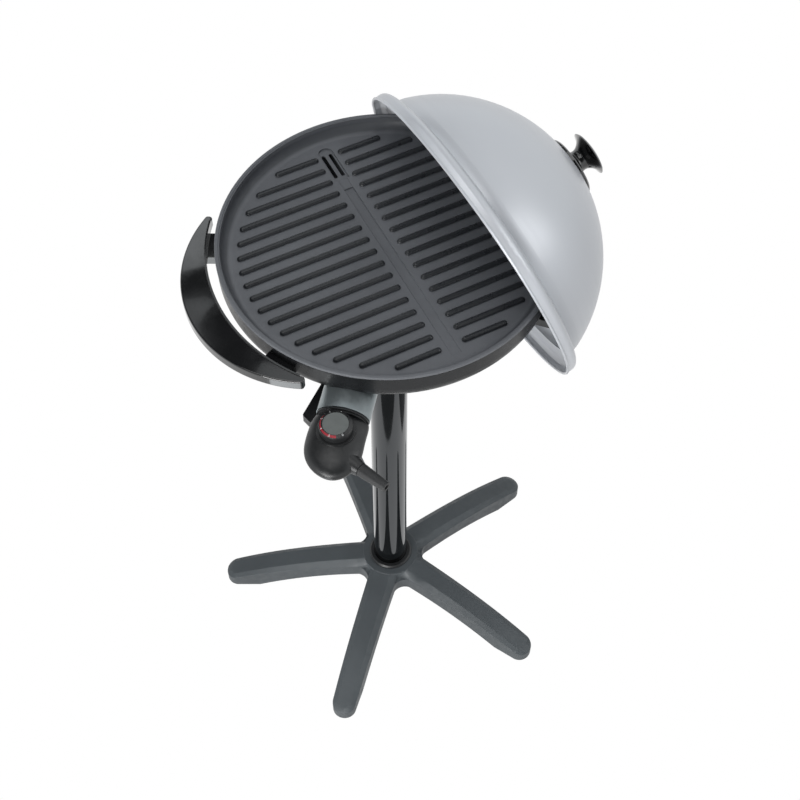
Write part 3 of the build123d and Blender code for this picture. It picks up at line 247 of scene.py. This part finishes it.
def finishes():
    made = {}
    coat = Finish("coated_cast", srgb(100, 102, 106), 0.46, Specular_IOR_Level=0.42)
    coat.vary_color(srgb(91, 93, 97), 9.0)
    coat.vary_roughness(0.40, 0.56, 60.0)
    ribs, wall_shade, seam_shadow = plate_masks(coat)
    # Painted shade: the ribs and bar are painted darker than the floor, standing in for the shading of their
    # round tops
    coat.paint(coat.mix(ribs, coat.source_of("Base Color"), srgb(36, 38, 41)))
    # Painted shade: the wall round the floor is painted darker
    coat.paint(coat.mix(wall_shade, coat.source_of("Base Color"), srgb(62, 64, 68)))
    # Painted shadow: a near black line at the seam under the rim's edge
    coat.paint(coat.mix(seam_shadow, coat.source_of("Base Color"), srgb(14, 14, 15)))
    smooth = coat.math("MULTIPLY", coat.source_of("Roughness"), coat.ramp(ribs, 1.0, 0.62, (0.0, 1.0)))
    coat.link(smooth, coat.shader.inputs["Roughness"])
    # Painted highlight: a lighter line along the plate's edges, ribs and rim
    coat.painted_edge_highlight(srgb(96, 99, 101), 0.0011, 0.5)
    coat.round_edges(0.0012)
    coat.grain(1400.0, 0.22, 0.0004)
    coat.grain(260.0, 0.10, 0.0006)
    made["plate"] = coat

    enamel = Finish("dark_enamel", srgb(74, 79, 82), 0.52, Specular_IOR_Level=0.45)
    enamel.vary_color(srgb(66, 71, 74), 7.0)
    enamel.vary_roughness(0.46, 0.60, 90.0)
    # Painted highlight: a lighter line along the star's edges and chamfers
    enamel.painted_edge_highlight(srgb(104, 109, 112), 0.0014, 0.4)
    enamel.round_edges(0.0022)
    enamel.grain(900.0, 0.05, 0.0003)
    made["enamel"] = enamel

    tube = Finish("black_chrome", (0.067, 0.071, 0.075), 0.06, 1.0)
    tube.vary_roughness(0.05, 0.09, 30.0)
    tube.grain(45.0, 0.012, 0.0006)
    made["tube"] = tube

    housing = Finish("housing_enamel", srgb(28, 29, 31), 0.34, Specular_IOR_Level=0.20)
    housing.vary_color(srgb(21, 22, 23), 11.0)
    housing.vary_roughness(0.25, 0.36, 120.0)
    housing.grain(700.0, 0.10, 0.0004)
    made["housing"] = housing

    gloss = Finish("handle_gloss", srgb(13, 14, 15), 0.09, Coat_Weight=0.5, Coat_Roughness=0.04)
    gloss.vary_color(srgb(18, 18, 20), 14.0)
    gloss.vary_roughness(0.06, 0.12, 40.0)
    gloss.round_edges(0.0012)
    gloss.grain(120.0, 0.02, 0.0004)
    made["gloss"] = gloss

    moulded = Finish("black_plastic", srgb(31, 32, 33), 0.36, Specular_IOR_Level=0.42)
    moulded.vary_color(srgb(26, 27, 28), 25.0)
    moulded.vary_roughness(0.30, 0.42, 200.0)
    moulded.round_edges(0.0007)
    moulded.grain(2400.0, 0.18, 0.0002)
    made["plastic"] = moulded

    rubber = Finish("foot_rubber", srgb(22, 22, 22), 0.75)
    rubber.vary_color(srgb(30, 30, 29), 60.0)
    rubber.grain(1500.0, 0.3, 0.0003)
    made["rubber"] = rubber

    zinc = Finish("zinc_steel", (0.60, 0.61, 0.62), 0.32, 1.0)
    zinc.vary_color((0.50, 0.52, 0.50), 220.0)
    zinc.vary_roughness(0.24, 0.42, 400.0)
    zinc.round_edges(0.0003)
    made["zinc"] = zinc

    cast = Finish("cast_socket", (0.26, 0.265, 0.27), 0.5, 1.0)
    cast.vary_color((0.20, 0.205, 0.21), 40.0)
    cast.grain(600.0, 0.35, 0.0005)
    made["cast"] = cast

    bright = Finish("reflector_sheet", (0.78, 0.79, 0.80), 0.24, 1.0)
    bright.vary_roughness(0.18, 0.34, 30.0)
    bright.grain(90.0, 0.08, 0.0006)
    made["bright"] = bright

    sheath = Finish("element_sheath", (0.10, 0.097, 0.092), 0.55, 0.8)
    sheath.vary_color((0.16, 0.12, 0.09), 30.0)
    sheath.grain(900.0, 0.3, 0.0003)
    made["sheath"] = sheath

    hood = Finish("hood_steel", srgb(142, 149, 151), 0.32, 0.75)
    hood.vary_color(srgb(136, 145, 147), 18.0)
    hood.vary_roughness(0.30, 0.42, 150.0)
    hood.grain(1200.0, 0.08, 0.0002)
    made["hood"] = hood

    ceramic = Finish("ceramic_block", srgb(226, 220, 204), 0.62)
    ceramic.vary_color(srgb(212, 204, 186), 90.0)
    ceramic.grain(1100.0, 0.2, 0.0002)
    made["ceramic"] = ceramic

    brass = Finish("contact_brass", (0.72, 0.56, 0.30), 0.28, 1.0)
    brass.vary_color((0.60, 0.43, 0.22), 160.0)
    brass.vary_roughness(0.2, 0.4, 300.0)
    made["brass"] = brass

    tray = Finish("tray_steel", (0.62, 0.63, 0.64), 0.30, 1.0)
    tray.vary_roughness(0.24, 0.38, 45.0)
    tray.grain(60.0, 0.05, 0.0005)
    made["tray"] = tray

    board = Finish("switch_board", srgb(120, 74, 40), 0.6)
    board.vary_color(srgb(104, 62, 32), 200.0)
    board.grain(1500.0, 0.2, 0.0002)
    made["board"] = board

    probe = Finish("probe_steel", (0.55, 0.54, 0.53), 0.3, 1.0)
    probe.vary_color((0.48, 0.44, 0.38), 70.0)
    probe.vary_roughness(0.22, 0.4, 260.0)
    made["probe"] = probe

    boot = Finish("boot_rubber", srgb(33, 34, 35), 0.55)
    boot.vary_color(srgb(28, 29, 30), 80.0)
    boot.grain(2600.0, 0.2, 0.0002)
    made["boot"] = boot

    face = Finish("knob_grey", srgb(98, 102, 100), 0.42)
    face.vary_color(srgb(92, 96, 94), 120.0)
    face.grain(3000.0, 0.15, 0.0001)
    face.round_edges(0.0004)
    made["face"] = face

    scale = Finish("dial_scale", srgb(28, 28, 29), 0.3)
    scale.vary_roughness(0.24, 0.38, 500.0)
    scale.round_edges(0.0003)
    made["scale"] = scale

    # Painted shade: near black, standing in for the shade inside the screws' cross recesses
    recess = Finish("screw_recess_shade", (0.03, 0.03, 0.031), 0.5, 0.6)
    recess.vary_color((0.05, 0.048, 0.044), 700.0)
    recess.grain(3000.0, 0.2, 0.0001)
    made["recess"] = recess
    made["lid"] = lid_finish()
    return made


def lid_finish():
    """Satin silver over spun metal: fine rings about the lid's own axis, and a soft uneven sheen."""
    spun = Finish("lid_silver", (0.535, 0.55, 0.575), 0.36, 0.25)
    spun.vary_color((0.51, 0.525, 0.555), 3.5, (0.3, 0.7))
    turn = Matrix((LID_RISE, LID_AXIS.cross(LID_RISE), LID_AXIS)).transposed().to_euler()
    own = spun.coordinates(tuple(LID_ORIGIN), tuple(turn))
    across, along, up = spun.split(own)
    ring = spun.node("ShaderNodeCombineXYZ")
    spun.link(spun.radius(across, along), ring.inputs["X"])
    spun.link(up, ring.inputs["Z"])
    lines = spun.noise(900.0, detail=2.0, vector=ring.outputs["Vector"])
    spun.link(spun.ramp(lines, 0.30, 0.40), spun.shader.inputs["Roughness"])
    spun.bump(lines, 0.05, 0.0002)
    spun.grain(2600.0, 0.05, 0.0001)
    return spun


coats = finishes()
dress(coats["enamel"], "base_star")
dress(coats["plastic"], "base_collar")
dress(coats["rubber"], "foot_pads", "table_foot_pads")
dress(coats["tube"], "column_tube")
dress(coats["plastic"], "column_cap", "table_feet", "tray_rails", "control_knob")
dress(coats["plastic"], "thermostat_upper_shell", "thermostat_lower_shell")
dress(coats["zinc"], "base_bolt", "base_washer", "column_plug", "socket_screws", "plate_screws")
dress(coats["zinc"], "reflector_screws", "element_clamps", "clamp_screws", "handle_screws")
dress(coats["zinc"], "table_foot_screws", "rail_screws")
dress(coats["zinc"], "hood_brackets", "hood_screws", "shell_screws", "knob_shaft", "lid_washer", "lid_screw")
dress(coats["cast"], "column_socket")
dress(coats["housing"], "housing_bowl")
dress(coats["bright"], "heat_reflector")
dress(coats["plate"], "grill_plate")
dress(coats["sheath"], "heating_element")
dress(coats["gloss"], "left_handle", "right_handle", "lid_plate", "lid_knob")
dress(coats["hood"], "probe_hood")
dress(coats["ceramic"], "terminal_block")
dress(coats["brass"], "terminal_pins", "contact_sleeves")
dress(coats["tray"], "drip_tray")
dress(coats["board"], "thermostat_switch")
dress(coats["probe"], "sensor_probe")
dress(coats["boot"], "strain_relief")
dress(coats["scale"], "dial_ring")
dress(coats["face"], "knob_cap")
dress(coats["lid"], "lid_dome")


# Star with round leg ends, their chamfer running on round the tip
def tip_cutter(shell, azimuth, joined):
    """What is taken off one leg's end: all that lies outside a chamfered half disc."""
    turn = Matrix.Rotation(azimuth, 4, "Z")
    centre = LEG_REACH - TIP_RADIUS

    def top_at(x, y):
        start = turn @ Vector((x, y, 0.2))
        return shell.ray_cast(start, Vector((0, 0, -1)))[0].z

    rings = []
    for step in range(33):
        angle = radians(-92 + 184 * step / 32)
        side = min(1.0, abs(sin(angle)))
        ahead = max(0.0, cos(angle))
        outer = TIP_RADIUS + 0.0004 * side
        inner = TIP_FLAT_RADIUS + 0.0002 * side
        flat = top_at(centre + inner * cos(angle) - 0.0003, inner * sin(angle) * 0.99)
        foot = flat - CHAMFER_DROP - CHAMFER_DROP / 2 * ahead
        shape = [(0.034, -0.01), (outer, -0.01), (outer, foot), (inner, flat + 0.0001)]
        shape += [(inner - 0.003, flat + 0.003), (inner - 0.003, 0.09), (0.034, 0.09)]
        ring = []
        for reach, height in shape:
            corner = Vector((centre + reach * cos(angle), reach * sin(angle), height))
            ring.append(joined.verts.new(turn @ corner))
        rings.append(ring)
    count = len(rings[0])
    for first, second in zip(rings, rings[1:]):
        for place in range(count):
            after = (place + 1) % count
            joined.faces.new((first[place], first[after], second[after], second[place]))
    joined.faces.new(reversed(rings[0]))
    joined.faces.new(rings[-1])


def rounded_star():
    node = parts["base_star"]
    welded = bmesh.new()
    welded.from_mesh(node.data)
    bmesh.ops.remove_doubles(welded, verts=welded.verts, dist=1e-6)
    shell = BVHTree.FromBMesh(welded)
    mesh = bpy.data.meshes.new("star_casting")
    welded.to_mesh(mesh)
    welded.free()
    star = new_object("star_casting", mesh)
    cut = bmesh.new()
    for azimuth in LEG_AZIMUTHS:
        tip_cutter(shell, azimuth, cut)
    bmesh.ops.recalc_face_normals(cut, faces=cut.faces)
    cut_mesh = bpy.data.meshes.new("tip_cutters")
    cut.to_mesh(cut_mesh)
    cut.free()
    cutters = new_object("tip_cutters", cut_mesh)
    modifier = star.modifiers.new("ends", "BOOLEAN")
    modifier.operation = "DIFFERENCE"
    modifier.solver = "EXACT"
    modifier.object = cutters
    bpy.context.view_layer.update()
    depsgraph = bpy.context.evaluated_depsgraph_get()
    shaped = bpy.data.meshes.new_from_object(star.evaluated_get(depsgraph))
    star.modifiers.clear()
    star.data = shaped
    bpy.data.objects.remove(cutters)
    shaped.shade_smooth()
    shaped.set_sharp_from_angle(angle=radians(20))
    shaped.materials.clear()
    shaped.materials.append(coats["enamel"].material)
    # Large faces set the normals, so that long thin triangles don't show
    weighted = star.modifiers.new("normals", "WEIGHTED_NORMAL")
    weighted.keep_sharp = True
    weighted.weight = 100
    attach(star, "stand")
    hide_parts("base_star")


rounded_star()


# Printed marks on the dial's ring, a hair above its face
def on_ring(turn, share, lift=0.00005):
    """A place on the ring: turn about the dial in degrees, share from its foot to its top."""
    radius = RING_FOOT[0] + (RING_TOP[0] - RING_FOOT[0]) * share
    height = RING_FOOT[1] + (RING_TOP[1] - RING_FOOT[1]) * share
    slope = atan2(RING_TOP[1] - RING_FOOT[1], RING_FOOT[0] - RING_TOP[0])
    outward = Vector((cos(radians(turn)), sin(radians(turn)), 0))
    normal = outward * sin(slope) + Vector((0, 0, cos(slope)))
    return KNOB_CENTRE + outward * radius + Vector((0, 0, height)) + normal * lift, outward, normal


def printed(name, color, mesh):
    thing = new_object(name, mesh)
    ink = Finish(name + "_ink", color, 0.5)
    ink.vary_color(tuple(part * 0.82 for part in color), 900.0)
    ink.vary_roughness(0.4, 0.6, 1500.0)
    thing.data.materials.clear()
    thing.data.materials.append(ink.material)
    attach(thing, "dial")


def red_band():
    """The heat range: a band that widens from its cool end to its hot end."""
    mesh = bpy.data.meshes.new("dial_range")
    points, faces = [], []
    steps = 56
    for step in range(steps + 1):
        part = step / steps
        turn = RANGE_START + (RANGE_END - RANGE_START) * part
        foot = 0.46 - 0.40 * part ** 0.7
        top = 0.54 + 0.34 * part ** 0.7
        for share in (foot, top):
            points.append(tuple(on_ring(turn, share)[0]))
    for step in range(steps):
        first = 2 * step
        faces.append((first, first + 2, first + 3, first + 1))
    mesh.from_pydata(points, [], faces)
    mesh.update()
    printed("dial_range", srgb(150, 18, 36), mesh)


def numeral(text, turn):
    curve = bpy.data.curves.new("numeral", "FONT")
    curve.body = text
    curve.size = NUMERAL_SIZE
    curve.align_x = "CENTER"
    curve.align_y = "CENTER"
    curve.resolution_u = 3
    holder = bpy.data.objects.new("numeral", curve)
    mesh = bpy.data.meshes.new_from_object(holder)
    bpy.data.objects.remove(holder)
    bpy.data.curves.remove(curve)
    place, outward, normal = on_ring(turn, 0.5, 0.00009)
    across = outward.cross(normal)
    up = normal.cross(across)
    frame_of = Matrix((-across, -up, normal)).transposed().to_4x4()
    frame_of.translation = place
    mesh.transform(frame_of)
    return mesh


def dial_numbers():
    joined = bmesh.new()
    for text, turn in NUMERALS:
        mesh = numeral(text, turn)
        joined.from_mesh(mesh)
        bpy.data.meshes.remove(mesh)
    mesh = bpy.data.meshes.new("dial_numbers")
    joined.to_mesh(mesh)
    joined.free()
    printed("dial_numbers", srgb(232, 234, 234), mesh)


red_band()
dial_numbers()


# Cross recesses in the upright screws that show from below, drawn as flat crosses painted dark as the shade
# in the hollow
def screw_islands(name):
    """The separate solids of a node, as lists of corner places."""
    mesh = parts[name].data
    group = list(range(len(mesh.vertices)))

    def root(index):
        while group[index] != index:
            group[index] = group[group[index]]
            index = group[index]
        return index

    places = {}
    for vertex in mesh.vertices:
        key = tuple(round(value, 6) for value in vertex.co)
        other = places.setdefault(key, vertex.index)
        group[root(vertex.index)] = root(other)
    for edge in mesh.edges:
        group[root(edge.vertices[0])] = root(edge.vertices[1])
    islands = {}
    for vertex in mesh.vertices:
        islands.setdefault(root(vertex.index), []).append(vertex.co.copy())
    return list(islands.values())


def recesses(name, body, reach, width):
    """Crosses with a small hub, a hair below each screw's lower face, painted near black as the shade in the
    recess.
    """
    joined = bmesh.new()
    half = width / 2
    inner = half * 1.7
    outline = [(reach, -half), (reach, half), (inner, inner), (half, reach), (-half, reach)]
    outline += [(-inner, inner), (-reach, half), (-reach, -half), (-inner, -inner)]
    outline += [(-half, -reach), (half, -reach), (inner, -inner)]
    for number, island in enumerate(screw_islands(name)):
        low = min(point.z for point in island)
        x = (min(point.x for point in island) + max(point.x for point in island)) / 2
        y = (min(point.y for point in island) + max(point.y for point in island)) / 2
        turn = Matrix.Rotation(radians(17 + 41 * number), 4, "Z")
        rim = []
        for corner in outline:
            place = turn @ Vector((corner[0], corner[1], 0))
            rim.append(joined.verts.new((x + place.x, y + place.y, low - 0.00003)))
        joined.faces.new(reversed(rim))
    mesh = bpy.data.meshes.new(name + "_recess")
    joined.to_mesh(mesh)
    joined.free()
    thing = new_object(name + "_recess", mesh)
    thing.data.materials.append(coats["recess"].material)
    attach(thing, body)


recesses("handle_screws", "head", 0.0022, 0.0011)
recesses("rail_screws", "head", 0.0020, 0.0010)
recesses("table_foot_screws", "head", 0.0024, 0.0012)
recesses("shell_screws", "thermostat", 0.0016, 0.0008)


# Stage: a floor that reads as white to the camera, under soft studio light
def seen_ray(tree, first="Is Camera Ray", others=("Is Glossy Ray", "Is Transmission Ray")):
    """One for the kinds of ray that are named, else nought."""
    path = tree.nodes.new("ShaderNodeLightPath")
    seen = path.outputs[first]
    for name in others:
        either = tree.nodes.new("ShaderNodeMath")
        either.operation = "MAXIMUM"
        tree.links.new(seen, either.inputs[0])
        tree.links.new(path.outputs[name], either.inputs[1])
        seen = either.outputs["Value"]
    return seen


def white_where_seen(material, other):
    """White for the camera and in reflections, plain grey for the light, and open from below."""
    tree = material.node_tree
    tree.nodes.clear()
    output = tree.nodes.new("ShaderNodeOutputMaterial")
    glow = tree.nodes.new("ShaderNodeEmission")
    glow.inputs["Strength"].default_value = 1.0
    plain = tree.nodes.new("ShaderNodeBsdfDiffuse")
    plain.inputs["Color"].default_value = (*other, 1)
    mixer = tree.nodes.new("ShaderNodeMixShader")
    tree.links.new(seen_ray(tree), mixer.inputs["Fac"])
    tree.links.new(plain.outputs["BSDF"], mixer.inputs[1])
    tree.links.new(glow.outputs["Emission"], mixer.inputs[2])
    side = tree.nodes.new("ShaderNodeNewGeometry")
    clear = tree.nodes.new("ShaderNodeBsdfTransparent")
    faced = tree.nodes.new("ShaderNodeMixShader")
    tree.links.new(side.outputs["Backfacing"], faced.inputs["Fac"])
    tree.links.new(mixer.outputs["Shader"], faced.inputs[1])
    tree.links.new(clear.outputs["BSDF"], faced.inputs[2])
    tree.links.new(faced.outputs["Shader"], output.inputs["Surface"])


floor_mesh = bpy.data.meshes.new("floor")
floor_mesh.from_pydata([(-7, -7, 0), (7, -7, 0), (7, 7, 0), (-7, 7, 0)], [], [(0, 1, 2, 3)])
floor = new_object("floor", floor_mesh)
floor.location = (0, 0, -0.0004)
floor_material = bpy.data.materials.new("floor")
floor_material.use_nodes = True
white_where_seen(floor_material, (0.38, 0.38, 0.38))
floor.data.materials.append(floor_material)

world = bpy.data.worlds.new("studio")
scene.world = world
world.use_nodes = True
world_tree = world.node_tree
world_tree.nodes.clear()
world_output = world_tree.nodes.new("ShaderNodeOutputWorld")
world_seen = world_tree.nodes.new("ShaderNodeBackground")
world_seen.inputs["Color"].default_value = (1, 1, 1, 1)
world_seen.inputs["Strength"].default_value = 1.0
world_light = world_tree.nodes.new("ShaderNodeBackground")
world_light.inputs["Color"].default_value = (0.92, 0.96, 1.0, 1)
world_light.inputs["Strength"].default_value = 0.46
# What gloss shows: the white surround and right side, under a dark ceiling
world_gloss = world_tree.nodes.new("ShaderNodeBackground")
world_gloss.inputs["Color"].default_value = (0.96, 0.985, 1.0, 1)
world_way = world_tree.nodes.new("ShaderNodeTexCoord")
world_split = world_tree.nodes.new("ShaderNodeSeparateXYZ")
world_tree.links.new(world_way.outputs["Generated"], world_split.inputs["Vector"])


def world_ramp(source, low, high, start, end):
    made = world_tree.nodes.new("ShaderNodeMapRange")
    for name, value in (("From Min", start), ("From Max", end), ("To Min", low), ("To Max", high)):
        made.inputs[name].default_value = value
    world_tree.links.new(source, made.inputs["Value"])
    return made.outputs["Result"]


overhead_part = world_ramp(world_split.outputs["Z"], 0.0, 1.0, 0.25, 0.52)
left_part = world_ramp(world_split.outputs["X"], 1.0, 0.0, 0.26, 0.48)
ceiling = world_tree.nodes.new("ShaderNodeMath")
ceiling.operation = "MULTIPLY"
world_tree.links.new(overhead_part, ceiling.inputs[0])
world_tree.links.new(left_part, ceiling.inputs[1])
gloss_strength = world_ramp(ceiling.outputs["Value"], 1.22, 0.08, 0.0, 1.0)
world_tree.links.new(gloss_strength, world_gloss.inputs["Strength"])
gloss_mixer = world_tree.nodes.new("ShaderNodeMixShader")
gloss_ray = seen_ray(world_tree, "Is Glossy Ray", ("Is Transmission Ray",))
world_tree.links.new(gloss_ray, gloss_mixer.inputs["Fac"])
world_tree.links.new(world_light.outputs["Background"], gloss_mixer.inputs[1])
world_tree.links.new(world_gloss.outputs["Background"], gloss_mixer.inputs[2])
world_mixer = world_tree.nodes.new("ShaderNodeMixShader")
world_tree.links.new(seen_ray(world_tree, others=()), world_mixer.inputs["Fac"])
world_tree.links.new(gloss_mixer.outputs["Shader"], world_mixer.inputs[1])
world_tree.links.new(world_seen.outputs["Background"], world_mixer.inputs[2])
world_tree.links.new(world_mixer.outputs["Shader"], world_output.inputs["Surface"])


def softbox(name, place, aim, size, energy):
    data = bpy.data.lights.new(name, "AREA")
    data.shape = "RECTANGLE"
    data.size, data.size_y = size
    data.energy = energy
    lamp = new_object(name, data)
    lamp.location = place
    lamp.rotation_euler = (Vector(aim) - Vector(place)).to_track_quat("-Z", "Y").to_euler()


softbox("top_light", (-0.6, -0.2, 3.6), (0, 0, 0.8), (2.0, 2.0), 26)
softbox("key_light", (-2.3, -1.9, 1.0), (0, 0, 0.2), (1.6, 1.2), 76)
softbox("lid_light", (1.98, -1.29, 2.21), (0.13, -0.13, 1.0), (0.9, 1.5), 10)


# Studio cards that only gloss and metal show; the dark wedges on the floor are a painted shadow of the
# grill, seen in the column's reflection
def card(name, outline, strength):
    """A flat card that glows with the strength given."""
    mesh = bpy.data.meshes.new(name)
    mesh.from_pydata(outline, [], [tuple(range(len(outline)))])
    thing = new_object(name, mesh)
    material = bpy.data.materials.new(name)
    material.use_nodes = True
    tree = material.node_tree
    tree.nodes.clear()
    output = tree.nodes.new("ShaderNodeOutputMaterial")
    glow = tree.nodes.new("ShaderNodeEmission")
    glow.inputs["Color"].default_value = (0.94, 0.98, 1.0, 1)
    glow.inputs["Strength"].default_value = strength
    tree.links.new(glow.outputs["Emission"], output.inputs["Surface"])
    thing.data.materials.append(material)
    for ray in ("camera", "diffuse", "transmission", "volume_scatter", "shadow"):
        setattr(thing, "visible_" + ray, False)


def overhead(name, strength, *corners):
    card(name, [(x, y, CEILING) for x, y in corners], strength)


overhead("window_top", 1.9, (0.25, 2.1), (-0.45, 2.1), (-0.45, 1.545), (-0.16, 1.48),
         (-0.07, 1.66), (0.25, 1.84))
overhead("window_lens", 1.0, (-0.40, 1.40), (-0.219, 1.289), (-0.203, 1.229), (-0.242, 1.189),
         (-0.275, 1.139), (-0.280, 1.068), (-0.267, 0.982), (-0.311, 1.0), (-0.40, 1.15))
overhead("window_tip", 1.1, (-0.162, 0.80), (-0.03, 0.64), (-0.03, 0.45), (-0.20, 0.60), (-0.24, 0.72))


def painted_floor_shadow(name, tip, first, last, start=0.335, near=0.43, far=0.50):
    """A dark wedge on the floor in front of the column, its tip towards the column: a painted shadow of the
    grill on the floor, seen only in reflections.
    """
    corners = [(start, tip), (near, first), (far, first)]
    corners += [(far, (first + last) / 2), (far, last), (near, last)]
    outline = []
    for distance, angle in corners:
        way = radians(-117 + angle)
        outline.append((distance * cos(way), distance * sin(way), FLOOR_CARD_HEIGHT))
    card(name, outline, 0.16)


# Painted shadow: two dark wedges where the grill's shadow would lie on the floor, for the column to reflect
painted_floor_shadow("column_shadow_card_left", 0, -47, 35)
painted_floor_shadow("column_shadow_card_right", 88, 64, 119)
tip_corners = [(-1.0, -0.80), (-0.55, -0.80), (-0.70, -0.33), (-1.0, -0.33)]
card("tip_card", [(x, y, FLOOR_CARD_HEIGHT) for x, y in tip_corners], 3.4)
card("lid_card", [(-0.16, 0.0, 1.6), (0.18, 0.0, 1.6), (0.18, 0.65, 1.6), (-0.16, 0.65, 1.6)], 1.1)
